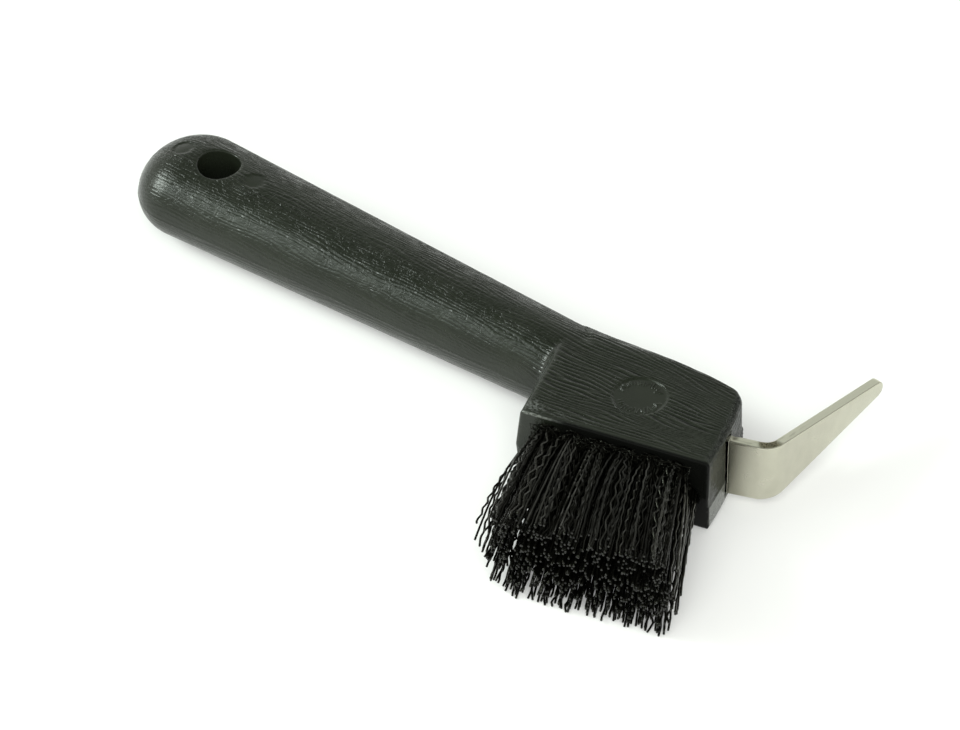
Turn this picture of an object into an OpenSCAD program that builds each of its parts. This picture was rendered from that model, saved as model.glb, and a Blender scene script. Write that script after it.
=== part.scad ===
// Hoof pick with a stable brush: one moulded handle and head, a bent steel pick and nineteen set tufts.
// It lies on its side. The origin is the centre of the hanging hole: +X runs along the grip to the
// head, +Z is the axis of the hole, the bristles point to -Y and the pick hooks over to +Y.

/* [Grip] */
// Width of the oval grip across the hanging hole
grip_w = 30.1; // [28:0.1:31]
// Thickness of the grip at the hanging hole
grip_t = 22.2; // [21:0.1:23]
// Width of the grip at the neck, where it meets the head
neck_w = 21.7; // [19:0.1:22]
// Distance from the hanging hole to the start of the rounded butt
butt_start = 7; // [7:0.1:9]
// Length of the rounded butt
butt_len = 14; // [10:0.5:15]
// Diameter of the hanging hole
hole_d = 10.5; // [8:0.5:12]
// Distance from the hanging hole to each round moulding mark
mark_reach = 11; // [10:0.5:13]

/* [Head] */
// Thickness of the head
head_t = 20.2; // [19.5:0.1:20.8]
// Length of the face that holds the bristles
face_len = 46.9; // [45:0.1:50]
// Angle between the bristle face and the grip
face_tilt = 13.3; // [10:0.1:15]
// Lean of the head's two end faces
end_lean = 15.5; // [13:0.1:17]
// Distance along the grip from the hanging hole to the heel of the bristle face
heel_x = 111.1; // [108:0.1:118]
// Distance of that heel below the grip's axis
heel_drop = 27.95; // [26:0.05:30]
// Length of the head's outer end face, from the bristle side to the back
end_len = 26.6; // [24:0.1:28]
// How far the sides swell from the top and bottom faces to the parting line
draft = 0.8; // [0.2:0.1:1]
// Diameter of the shallow round seal on the head's broad face
seal_d = 13; // [10:0.5:14]

/* [Bristles] */
// Distance between neighbouring tufts in a row
tuft_pitch = 6.35; // [6:0.05:6.5]
// Distance between rows
row_pitch = 6; // [5.6:0.1:6.2]
// Diameter of a tuft hole
tuft_hole_d = 4.8; // [4.2:0.1:5]
// Depth of a tuft hole
tuft_hole_depth = 8; // [7:0.5:8]
// Free length of the bristles
bristle_len = 37.5; // [30:0.5:42]
// Diameter of one tuft at its tips
tuft_tip_d = 6.8; // [5:0.1:7]

/* [Pick] */
// Thickness of the steel
steel_t = 2.4; // [2:0.1:3]
// Width of the pick at the head
pick_w = 16.5; // [15:0.5:17]
// Length of the straight stretch before the bend
leg_in = 6.4; // [5:0.1:9]
// Length of the straight stretch after the bend
leg_out = 37.7; // [30:0.1:42]
// Radius of the bend at mid thickness
bend_r = 5; // [4:0.1:7]
// Angle of the bend
bend_angle = 67; // [60:1:75]
// Radius of the pick's rounded tip
tip_r = 2.1; // [1.8:0.1:2.4]
// Length of the tang inside the head
tang_len = 18; // [14:0.5:18]

/* [Hidden] */

$fn = 36;
slice = 0.4;                                  // thin slab that stands for one section in a hull
past = 1;                                     // how far a cut runs past the surface it opens
plastic = [0.13, 0.15, 0.13];
steel = [0.80, 0.78, 0.70];
bristle = [0.05, 0.05, 0.05];

// Grip: an oval that narrows evenly from the butt to the neck.
neck_x = heel_x - heel_drop * tan(end_lean);  // where the head's inner end face crosses the axis
function along(from, to, x) = from + (to - from) * x / neck_x;
function grip_half_w(x) = along(grip_w, neck_w, x) / 2;
function grip_half_t(x) = along(grip_t, head_t, x) / 2;
function crest_z(x) = grip_half_t(max(x, -butt_start))
                      * sqrt(1 - pow(min(x + butt_start, 0) / butt_len, 2));

// Head corners in plan, at the broad faces.
heel = [heel_x, -heel_drop];
toe = heel + face_len * [cos(face_tilt), sin(face_tilt)];
back = toe + end_len * [-sin(end_lean), cos(end_lean)];
corner_r = 0.8;
back_r = 3.2;
edge_r = 0.5;
back_edge_r = 1.6;
ridge_t = 0.4;

// Round marks in the broad face: two moulding marks by the hole and one seal on the head.
mark_d = 5.2;
mark_depth = 0.25;
seal_at = [130.5, -7.2];
seal_depth = 0.35;

// Tufts: three staggered rows, listed as how many stand in each and how their tips spread.
row_counts = [6, 7, 6];
row_heights = [row_pitch, 0, -row_pitch];
row_rises = [4.6, 0.6, -2.2];                 // degrees that each row rises towards +Z
tuft_gap = 0.05;                              // room between a tuft and its hole
tuft_foot_d = 5.3;                            // diameter of the free bristles where they leave the face
tuft_bite = 0.4;                              // how far the set root runs into the free bristles
lean_mid = 10.6;                              // degrees that the middle tufts lean towards the pick
row_gains = [0.27, 0.14, 0.2];                 // more degrees of lean for each millimetre along the face
anchor_size = [3.4, 2.2, 0.5];

// Pick: its own frame starts where its middle line leaves the head.
pick_root = [154.6, -4.8];
pick_exit = 19;
taper_w = 15;                                 // width where the bend ends and the even taper begins
shoulder = 5;                                 // how far before the bend's end the sides are nearly even
tang_w = 12;
mouth_depth = 2;
mouth_gap = 0.4;
key_d = 4;
key_places = [-6.5, -12.5];
key_gap = 0.05;

module in_face() {
    translate([heel[0], heel[1], 0]) rotate(face_tilt) children();
}

module in_pick() {
    translate([pick_root[0], pick_root[1], 0]) rotate(pick_exit) children();
}

// A thin oval slab across the X axis
module oval_slab(half_w, half_t) {
    rotate([90, 0, 90])
        linear_extrude(slice, center = true)
            scale([half_w, half_t]) circle(r = 1);
}

module grip_blank() {
    hull() {
        translate([-butt_start, 0, 0])
            scale([butt_len, grip_half_w(-butt_start), grip_half_t(-butt_start)]) sphere(r = 1);
        translate([neck_x + 2, 0, 0])
            oval_slab(grip_half_w(neck_x + 2), grip_half_t(neck_x + 2));
    }
}

// One upright corner of the head, with eased edges and a swell at the parting line
module corner_post(place, r, edge) {
    translate([place[0], place[1], 0]) {
        cylinder(h = head_t, r = r - edge, center = true);
        cylinder(h = head_t - 2 * edge, r = r, center = true);
        cylinder(h = ridge_t, r = r + draft, center = true);
    }
}

// Steps from a corner of the plan along the bristle face and along the end face
function inset(corner, along_face, along_end) =
    corner + along_face * [cos(face_tilt), sin(face_tilt)]
           + along_end * [-sin(end_lean), cos(end_lean)];

module head_blank() {
    hull() {
        corner_post(inset(heel, corner_r, corner_r), corner_r, edge_r);
        corner_post(inset(toe, -corner_r, corner_r), corner_r, edge_r);
        corner_post(inset(back, -back_r, -back_r), back_r, back_edge_r);
        translate([neck_x, 0, 0]) rotate(end_lean)
            oval_slab(grip_half_w(neck_x) / cos(end_lean), head_t / 2);
    }
}

// Places each row's tufts: children draw one tuft's share, pointing out of the face along -Y
module at_tuft(row, i) {
    count = row_counts[row];
    in_face()
        translate([face_len / 2 + (i - (count - 1) / 2) * tuft_pitch, 0, row_heights[row]])
            children();
}

module at_every_tuft() {
    for (row = [0:len(row_counts) - 1])
        for (i = [0:row_counts[row] - 1])
            at_tuft(row, i) children();
}

module tuft_hole() {
    rotate([-90, 0, 0])
        translate([0, 0, -past - draft]) cylinder(h = tuft_hole_depth + past + draft, d = tuft_hole_d);
}

// The strip of steel inside the head, pierced by two keys of plastic
module tang(gap) {
    difference() {
        translate([-tang_len, -steel_t / 2, -tang_w / 2])
            cube([tang_len - mouth_depth, steel_t, tang_w]);
        for (x = key_places)
            translate([x, 0, 0]) rotate([90, 0, 0])
                cylinder(h = steel_t + 2 * past, d = key_d - 2 * gap, center = true);
    }
}

module pick_pocket() {
    in_pick() {
        tang(key_gap);
        translate([-mouth_depth, -steel_t / 2 - mouth_gap, -pick_w / 2 - mouth_gap])
            cube([mouth_depth + 2 * past + draft, steel_t + 2 * mouth_gap, pick_w + 2 * mouth_gap]);
    }
}

module handle() {
    color(plastic)
        difference() {
            union() {
                grip_blank();
                head_blank();
            }
            cylinder(h = grip_t + 2 * past, d = hole_d, center = true);
            for (x = [-mark_reach, mark_reach])
                translate([x, 0, crest_z(x) - mark_depth]) cylinder(h = past, d = mark_d);
            translate([seal_at[0], seal_at[1], head_t / 2 - seal_depth]) cylinder(h = past, d = seal_d);
            at_every_tuft() tuft_hole();
            pick_pocket();
        }
}

// Side view of the bent strip, from the mouth of its slot to the tip
module pick_profile() {
    translate([-mouth_depth, -steel_t / 2]) square([mouth_depth + leg_in, steel_t]);
    translate([leg_in, bend_r])
        intersection() {
            difference() {
                circle(r = bend_r + steel_t / 2, $fn = 90);
                circle(r = bend_r - steel_t / 2, $fn = 90);
            }
            polygon([[0, 0], [0, -3 * bend_r],
                     3 * bend_r * [1, -1],
                     3 * bend_r * [sin(bend_angle), -cos(bend_angle)]]);
        }
    past_bend() translate([0, -steel_t / 2]) square([leg_out, steel_t]);
}

// Moves to where the bend ends, with +X along the outer leg
module past_bend() {
    translate([leg_in + bend_r * sin(bend_angle), bend_r * (1 - cos(bend_angle))])
        rotate(bend_angle) children();
}

// Front view of the pick along its outer leg: nearly even at the root, then an even taper to the tip
module pick_outline() {
    tip_x = leg_out - tip_r;
    slope = atan((taper_w / 2 - tip_r) / tip_x);
    half = [[-4 * shoulder, pick_w / 2],
            [-shoulder, pick_w / 2 - 0.2],
            [0, taper_w / 2],
            [tip_x + tip_r * sin(slope), tip_r * cos(slope)]];
    polygon(concat(half, [for (i = [len(half) - 1:-1:0]) [half[i][0], -half[i][1]]]));
    translate([tip_x, 0]) circle(r = tip_r);
}

module pick_blade() {
    color(steel)
        in_pick() {
            intersection() {
                linear_extrude(pick_w, center = true) pick_profile();
                past_bend()
                    translate([0, leg_out / 2, 0]) rotate([90, 0, 0])
                        linear_extrude(2 * leg_out) pick_outline();
            }
            tang(0);
        }
}

module anchor(gap) {
    translate([-anchor_size[0] / 2 - gap, tuft_hole_depth - anchor_size[1] - gap, -anchor_size[2] / 2 - gap])
        cube([anchor_size[0] + 2 * gap, anchor_size[1] + gap, anchor_size[2] + 2 * gap]);
}

module tuft_anchors() {
    color(steel)
        at_every_tuft() anchor(0);
}

// One tuft: folded over its anchor in the hole, then fanning out to the trimmed tips
module tuft(row, i) {
    lean = lean_mid + row_gains[row] * (i - (row_counts[row] - 1) / 2) * tuft_pitch;
    clear_of_face = draft + tuft_gap;
    color(bristle)
        at_tuft(row, i) {
            difference() {
                rotate([-90, 0, 0])
                    translate([0, 0, -clear_of_face - tuft_bite])
                        cylinder(h = tuft_hole_depth + clear_of_face + tuft_bite - tuft_gap,
                                 d = tuft_hole_d - 2 * tuft_gap);
                anchor(tuft_gap);
            }
            difference() {
                rotate([0, 0, lean]) rotate([90 - row_rises[row], 0, 0])
                    cylinder(h = bristle_len, d1 = tuft_foot_d, d2 = tuft_tip_d);
                translate([-tuft_hole_d, -clear_of_face, -tuft_hole_d]) cube(2 * tuft_hole_d);
            }
        }
}

handle();
pick_blade();
tuft_anchors();
tuft(0, 0);  // tuft_top_1
tuft(0, 1);  // tuft_top_2
tuft(0, 2);  // tuft_top_3
tuft(0, 3);  // tuft_top_4
tuft(0, 4);  // tuft_top_5
tuft(0, 5);  // tuft_top_6
tuft(1, 0);  // tuft_mid_1
tuft(1, 1);  // tuft_mid_2
tuft(1, 2);  // tuft_mid_3
tuft(1, 3);  // tuft_mid_4
tuft(1, 4);  // tuft_mid_5
tuft(1, 5);  // tuft_mid_6
tuft(1, 6);  // tuft_mid_7
tuft(2, 0);  // tuft_low_1
tuft(2, 1);  // tuft_low_2
tuft(2, 2);  // tuft_low_3
tuft(2, 3);  // tuft_low_4
tuft(2, 4);  // tuft_low_5
tuft(2, 5);  // tuft_low_6
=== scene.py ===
"""Looks of the hoof pick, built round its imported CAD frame.

Sizes are in millimetres, as in the part's source, and become metres when a mesh is made.
"""

import math
from itertools import product

import bpy
import numpy as np
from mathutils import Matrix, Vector


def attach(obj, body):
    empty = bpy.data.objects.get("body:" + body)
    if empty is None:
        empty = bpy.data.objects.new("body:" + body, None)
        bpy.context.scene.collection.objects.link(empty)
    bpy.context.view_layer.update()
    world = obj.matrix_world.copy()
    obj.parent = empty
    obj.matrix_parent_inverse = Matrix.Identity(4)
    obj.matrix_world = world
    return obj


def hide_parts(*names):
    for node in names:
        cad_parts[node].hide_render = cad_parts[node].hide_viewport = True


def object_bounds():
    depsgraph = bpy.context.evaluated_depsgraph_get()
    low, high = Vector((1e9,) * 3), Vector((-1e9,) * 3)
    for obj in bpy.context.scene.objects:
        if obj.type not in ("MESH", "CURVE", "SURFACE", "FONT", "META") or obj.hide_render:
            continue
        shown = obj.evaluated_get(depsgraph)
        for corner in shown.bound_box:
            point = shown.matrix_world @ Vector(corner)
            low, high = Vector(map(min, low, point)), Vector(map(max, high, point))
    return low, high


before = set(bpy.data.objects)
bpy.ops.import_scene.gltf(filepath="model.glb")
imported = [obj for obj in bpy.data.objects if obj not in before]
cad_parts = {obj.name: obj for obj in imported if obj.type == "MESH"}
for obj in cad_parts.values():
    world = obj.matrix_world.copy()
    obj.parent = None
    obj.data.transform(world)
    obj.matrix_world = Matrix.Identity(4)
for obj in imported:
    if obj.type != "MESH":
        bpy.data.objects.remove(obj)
cad_box = [list(corner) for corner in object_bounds()]

MM = 0.001
SEED = 7
FLOOR_Z = cad_box[0][2] / MM

# ---------------------------------------------------------------- sizes of the CAD part

GRIP_W, GRIP_T, NECK_W = 30.1, 22.2, 21.7      # width and thickness at the hole, width at the neck
BUTT_START, BUTT_LEN = 7.0, 14.0
HOLE_R = 5.25
MARK_REACH, MARK_R, MARK_DEPTH = 11.0, 2.6, 0.25

HEAD_T = 20.2
FACE_LEN, FACE_TILT = 46.9, math.radians(13.3)
END_LEN, END_LEAN = 26.6, math.radians(15.5)
HEEL = (111.1, -27.95)
DRAFT = 0.8
CORNER_R, BACK_R = 0.8, 3.2
SEAL_AT, SEAL_R, SEAL_DEPTH = (130.5, -7.2), 6.5, 0.35

ROW_COUNTS = (6, 7, 6)
ROW_NAMES = ("top", "mid", "low")
ROW_HEIGHTS = (6.0, 0.0, -6.0)
ROW_RISES = (4.6, 0.6, -2.2)
ROW_GAINS = (0.27, 0.14, 0.2)
LEAN_MID = 10.6
TUFT_PITCH = 6.35
TUFT_HOLE_R, TUFT_HOLE_DEPTH = 2.4, 8.0
BRISTLE_LEN = 37.5

PICK_ROOT, PICK_EXIT = (154.6, -4.8), math.radians(19)
STEEL_T, PICK_W, TAPER_W = 2.4, 16.5, 15.0
LEG_IN, BEND_R, BEND_ANGLE, LEG_OUT = 6.4, 5.0, math.radians(67), 37.7
TIP_R = 2.1
TANG_LEN, TANG_W = 18.0, 12.0
MOUTH_DEPTH, MOUTH_GAP = 2.0, 0.4
KEY_R, KEY_PLACES = 2.0, (-6.5, -12.5)

NECK_X = HEEL[0] + HEEL[1] * math.tan(END_LEAN)
FACE_DIR = (math.cos(FACE_TILT), math.sin(FACE_TILT))
FACE_OUT = (math.sin(FACE_TILT), -math.cos(FACE_TILT))
END_DIR = (-math.sin(END_LEAN), math.cos(END_LEAN))
END_OUT = (math.cos(END_LEAN), math.sin(END_LEAN))
TOE = (HEEL[0] + FACE_LEN * FACE_DIR[0], HEEL[1] + FACE_LEN * FACE_DIR[1])
BACK = (TOE[0] + END_LEN * END_DIR[0], TOE[1] + END_LEN * END_DIR[1])

# ---------------------------------------------------------------- camera

AZIMUTH = math.radians(36.69)
ELEVATION = math.radians(41.44)
DISTANCE = 1.4152
TARGET = Vector((0.08743, -0.01149, 0.0))
FOCAL_PIXELS = 6000
FRAME_PIXELS = 960
SENSOR_WIDTH = 36.0

TO_CAMERA = Vector((
    math.sin(AZIMUTH) * math.cos(ELEVATION),
    -math.cos(AZIMUTH) * math.cos(ELEVATION),
    math.sin(ELEVATION),
))


def add_camera():
    data = bpy.data.cameras.new("camera")
    data.sensor_width = SENSOR_WIDTH
    data.lens = SENSOR_WIDTH * FOCAL_PIXELS / FRAME_PIXELS
    data.clip_end = 20
    camera = bpy.data.objects.new("camera", data)
    camera.location = TARGET + TO_CAMERA * DISTANCE
    camera.rotation_mode = "QUATERNION"
    camera.rotation_quaternion = (-TO_CAMERA).to_track_quat("-Z", "Y")
    bpy.context.scene.collection.objects.link(camera)
    bpy.context.scene.camera = camera


# ---------------------------------------------------------------- fields and meshes

def rounded_max(a, b, radius):
    """Where two solids overlap, as distance fields, with the edge between them rounded."""
    corner = np.hypot(np.maximum(a + radius, 0), np.maximum(b + radius, 0))
    return np.minimum(np.maximum(a, b), -radius) + corner


def filleted_min(a, b, radius):
    """Two solids together, as distance fields, with a fillet in the corner between them."""
    return -rounded_max(-a, -b, radius)


def smooth_step(low, high, value):
    t = np.clip((value - low) / (high - low), 0, 1)
    return t * t * (3 - 2 * t)


def waves(seed, count, wavelength_u, wavelength_v):
    """A smooth random function of two coordinates, about -1 to 1: a sum of seeded sine waves."""
    rng = np.random.default_rng(seed)
    angle = rng.uniform(0, 2 * math.pi, count)
    pace = rng.uniform(0.6, 1.5, count)
    ku = 2 * math.pi * pace * np.cos(angle) / wavelength_u
    kv = 2 * math.pi * pace * np.sin(angle) / wavelength_v
    phase = rng.uniform(0, 2 * math.pi, count)

    def height(u, v):
        total = sum(np.sin(a * u + b * v + c) for a, b, c in zip(ku, kv, phase))
        return total / math.sqrt(2 * count)

    return height


def surface_net(field, low, step):
    """Vertices and quads of a sampled field's zero surface: one vertex in each cell that it crosses."""
    inside = field < 0
    cells = tuple(n - 1 for n in inside.shape)
    filled = np.zeros(cells, np.int8)
    for offset in product((0, 1), repeat=3):
        filled += inside[tuple(slice(o, o + n) for o, n in zip(offset, cells))]
    crossed = (filled > 0) & (filled < 8)
    number = np.full(cells, -1)
    number[crossed] = np.arange(crossed.sum())
    points = (np.argwhere(crossed) + 0.5) * step + low
    quads = []
    for axis in range(3):
        near = np.moveaxis(inside, axis, 0)[:-1]
        far = np.moveaxis(inside, axis, 0)[1:]
        edges = np.argwhere(np.moveaxis(near != far, 0, axis))
        leaves = np.moveaxis(near, 0, axis)[tuple(edges.T)]
        across = np.eye(3, dtype=int)[(axis + 1) % 3]
        upward = np.eye(3, dtype=int)[(axis + 2) % 3]
        ring = [edges, edges - across, edges - across - upward, edges - upward]
        faces = np.stack([number[tuple(corner.T)] for corner in ring], axis=1)
        faces[~leaves] = faces[~leaves][:, ::-1]
        quads.append(faces)
    return points, np.concatenate(quads)


def slope_of(field, points, reach=0.02):
    """The field's gradient at each point, by central differences."""
    slope = np.empty_like(points)
    for axis in range(3):
        shift = np.zeros(3)
        shift[axis] = reach
        ahead = field(*(points + shift).T)
        behind = field(*(points - shift).T)
        slope[:, axis] = (ahead - behind) / (2 * reach)
    return slope


def settle(points, field, farthest, rounds=4):
    """Moves points down the field's slope on to its zero surface."""
    for _ in range(rounds):
        slope = slope_of(field, points)
        steep = np.maximum((slope * slope).sum(1), 0.05)
        move = slope * (field(*points.T) / steep)[:, None]
        length = np.maximum(np.linalg.norm(move, axis=1, keepdims=True), 1e-9)
        points = points - move * np.minimum(1, farthest / length)
    return points


def mesh_of_field(field, detail, low, high, step):
    """Points and quads of the field's surface. The detail is the same field with its fine relief added."""
    low, high, step = np.array(low, float), np.array(high, float), np.array(step, float)
    lines = [np.arange(a, b + s, s) for a, b, s in zip(low, high, step)]
    grid = np.meshgrid(*lines, indexing="ij", sparse=True)
    points, quads = surface_net(field(*grid), low, step)
    points = settle(points, field, step.max())
    return settle(points, detail, step.min(), rounds=2), quads


def add_object(name, points, faces, materials, replaced=(), attributes=()):
    """A smooth-shaded mesh piece from points in millimetres, riding on the one body."""
    mesh = bpy.data.meshes.new(name)
    mesh.vertices.add(len(points))
    mesh.vertices.foreach_set("co", (np.asarray(points) * MM).astype(np.float32).ravel())
    faces = [np.asarray(f, np.int32) for f in faces]
    counts = np.concatenate([np.full(len(f), f.shape[1], np.int32) for f in faces])
    mesh.loops.add(int(counts.sum()))
    mesh.loops.foreach_set("vertex_index", np.concatenate([f.ravel() for f in faces]))
    mesh.polygons.add(len(counts))
    mesh.polygons.foreach_set("loop_start", np.concatenate([[0], np.cumsum(counts)[:-1]]).astype(np.int32))
    mesh.polygons.foreach_set("use_smooth", np.ones(len(counts), bool))
    for key, values in attributes:
        layer = mesh.attributes.new(key, "FLOAT_VECTOR", "POINT")
        layer.data.foreach_set("vector", np.asarray(values, np.float32).ravel())
    for material in materials:
        mesh.materials.append(material)
    mesh.update()
    mesh.validate()
    piece = bpy.data.objects.new(name, mesh)
    bpy.context.scene.collection.objects.link(piece)
    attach(piece, "root")
    if replaced:
        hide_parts(*replaced)
    return piece


# ---------------------------------------------------------------- material helpers

class Nodes:
    """Short calls for building one material's node tree."""

    def __init__(self, name):
        self.material = bpy.data.materials.new(name)
        self.material.use_nodes = True
        self.tree = self.material.node_tree
        self.shader = self.tree.nodes["Principled BSDF"]

    def add(self, kind, **values):
        node = self.tree.nodes.new(kind)
        for key, value in values.items():
            setattr(node, key, value)
        return node

    def plug(self, socket, value):
        if isinstance(value, bpy.types.NodeSocket):
            self.tree.links.new(value, socket)
        else:
            socket.default_value = value

    def attribute(self, name):
        return self.add("ShaderNodeAttribute", attribute_name=name).outputs["Vector"]

    def stretch(self, vector, scale, location=(0, 0, 0)):
        node = self.add("ShaderNodeMapping")
        self.plug(node.inputs["Vector"], vector)
        node.inputs["Scale"].default_value = scale
        node.inputs["Location"].default_value = location
        return node.outputs["Vector"]

    def noise(self, vector, scale, detail=2.0, roughness=0.5, distortion=0.0):
        node = self.add("ShaderNodeTexNoise")
        self.plug(node.inputs["Vector"], vector)
        node.inputs["Scale"].default_value = scale
        node.inputs["Detail"].default_value = detail
        node.inputs["Roughness"].default_value = roughness
        node.inputs["Distortion"].default_value = distortion
        return node.outputs["Fac"]

    def math(self, operation, a, b=0.0, clamp=False):
        node = self.add("ShaderNodeMath", operation=operation, use_clamp=clamp)
        self.plug(node.inputs[0], a)
        self.plug(node.inputs[1], b)
        return node.outputs["Value"]

    def split(self, vector):
        node = self.add("ShaderNodeSeparateXYZ")
        self.plug(node.inputs["Vector"], vector)
        return node.outputs["X"], node.outputs["Y"], node.outputs["Z"]

    def spread(self, value, low, high, out_low=0.0, out_high=1.0):
        node = self.add("ShaderNodeMapRange", interpolation_type="SMOOTHSTEP")
        self.plug(node.inputs["Value"], value)
        node.inputs["From Min"].default_value = low
        node.inputs["From Max"].default_value = high
        node.inputs["To Min"].default_value = out_low
        node.inputs["To Max"].default_value = out_high
        return node.outputs["Result"]

    def veins(self, value, width):
        """Thin raised lines where a noise value crosses its middle."""
        off_middle = self.math("ABSOLUTE", self.math("SUBTRACT", value, 0.5))
        return self.spread(off_middle, 0.0, width, 1.0, 0.0)

    def mix(self, share, a, b):
        node = self.add("ShaderNodeMix", data_type="RGBA")
        self.plug(node.inputs["Factor"], share)
        self.plug(node.inputs["A"], a)
        self.plug(node.inputs["B"], b)
        return node.outputs["Result"]

    def bump(self, height, distance_mm, strength=1.0, normal=None):
        node = self.add("ShaderNodeBump")
        self.plug(node.inputs["Height"], height)
        node.inputs["Distance"].default_value = distance_mm * MM
        node.inputs["Strength"].default_value = strength
        if normal is not None:
            self.plug(node.inputs["Normal"], normal)
        return node.outputs["Normal"]


def rgb(*colour):
    return (*colour, 1.0)


# ---------------------------------------------------------------- materials

CALM_STRETCH, CALM_SHARE = (90.0, 106.0), 0.35      # the wrinkles weaken from the grip to the head
PLASTIC = (rgb(0.0104, 0.0130, 0.0084), rgb(0.0128, 0.0158, 0.0102))
# painted shade for the grain's grooves
GROOVE_SHADE = rgb(0.0030, 0.0036, 0.0026)
CHIPPED = rgb(0.085, 0.092, 0.086)
# a painted sheen: the pale tone painted on the end's lower part and on the arris over the bristle face
PAINTED_SHEEN = rgb(0.150, 0.158, 0.145)
# painted shade for the bristle face and the end behind the pick
PAINTED_SHADE = rgb(0.0028, 0.0030, 0.0026)


def plastic_material():
    """Moulded plastic with an embossed wood grain.

    The mesh's flow holds distance along and across the grain and the grain's strength. Its wear holds how
    rubbed and how smooth the plastic is, and the grain's height from -1 to 1, which also paints shade into
    the grooves. Its third attribute holds painted shade on the bristle face and the end behind the pick,
    and a painted sheen on the end's lower part and the arris over the bristle face.
    """
    n = Nodes("moulded_plastic")
    flow = n.attribute("flow")
    wear = n.attribute("wear")
    along, _, strength = n.split(flow)
    worn, smooth, height = n.split(wear)
    painted_light, painted_sheen, _ = n.split(n.attribute("painted_light"))

    swells = n.noise(n.stretch(flow, (0.40, 0.70, 0.0)), 1.0, detail=2.0, distortion=0.6)
    long_veins = n.veins(n.noise(n.stretch(flow, (0.15, 0.55, 0.0), (4, 9, 2)), 1.0, distortion=0.9), 0.08)
    short_veins = n.veins(n.noise(n.stretch(flow, (0.66, 0.46, 0.0), (7, 3, 5)), 1.0, distortion=0.8), 0.10)
    relief = n.math("ADD", n.math("MULTIPLY", swells, 0.9), n.math("MULTIPLY", long_veins, 0.28))
    relief = n.math("ADD", relief, n.math("MULTIPLY", short_veins, 0.42))
    calmer = n.spread(along, *CALM_STRETCH, 1.0, CALM_SHARE)
    relief = n.math("MULTIPLY", relief, n.math("MULTIPLY", strength, calmer))
    place = n.add("ShaderNodeTexCoord").outputs["Object"]
    pebble = n.noise(place, 1500.0, detail=2.0)
    normal = n.bump(pebble, 0.02, 0.4)
    normal = n.bump(relief, 0.16, 1.0, normal)

    patches = n.noise(place, 90.0, detail=3.0)
    base = n.mix(n.spread(patches, 0.35, 0.7), *PLASTIC)
    # painted shade: the grain's grooves darkened by the relief's height
    base = n.mix(n.spread(height, -0.95, 0.2, 0.95, 0.0), base, GROOVE_SHADE)
    flecks = n.noise(n.stretch(flow, (1.1, 2.2, 0.0)), 1.0, detail=3.0, roughness=0.7, distortion=0.6)
    chips = n.spread(n.math("ADD", flecks, n.math("MULTIPLY", worn, 0.22)), 0.60, 0.80)
    base = n.mix(n.math("MULTIPLY", chips, worn), base, CHIPPED)
    # painted sheen, streaked by the flecks, on the end's lower part and the arris over the bristle face
    sheen_streaks = n.spread(flecks, 0.35, 0.6, 0.25, 1.0)
    base = n.mix(n.math("MULTIPLY", painted_sheen, sheen_streaks), base, PAINTED_SHEEN)
    # painted shade on the bristle face and behind the pick: darker colour and a weaker reflection
    n.plug(n.shader.inputs["Base Color"], n.mix(painted_light, base, PAINTED_SHADE))
    n.plug(n.shader.inputs["Specular IOR Level"], n.spread(painted_light, 0.0, 1.0, 0.5, 0.16))
    dull = n.spread(patches, 0.3, 0.75, 0.17, 0.23)
    n.plug(n.shader.inputs["Roughness"], n.math("ADD", dull, n.math("MULTIPLY", smooth, 0.08)))
    n.shader.inputs["IOR"].default_value = 1.42
    n.plug(n.shader.inputs["Normal"], normal)
    return n.material


ROOT_SHADE, ROOT_LIP = -0.31, -0.22      # along the strip: where the painted shade of the gap ends, and a lip with a painted highlight
# how far the painted dark reflection of the head reaches along the strip
HEAD_REFLECTION_LEN = 6.5
NICKEL = (rgb(0.545, 0.535, 0.440), rgb(0.590, 0.580, 0.480))
TORN_METAL = (rgb(0.09, 0.082, 0.05), rgb(0.40, 0.37, 0.26))
# the strip's root darkened as a painted reflection of the dark head, painted shade in the mouth's gap, and
# cut metal whose colour also paints a highlight on the lip
PAINTED_HEAD_REFLECTION, PAINTED_GAP_SHADE, CUT_METAL_AND_LIP_HIGHLIGHT = rgb(0.17, 0.165, 0.125), rgb(0.004, 0.004, 0.003), rgb(0.82, 0.81, 0.69)


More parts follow.
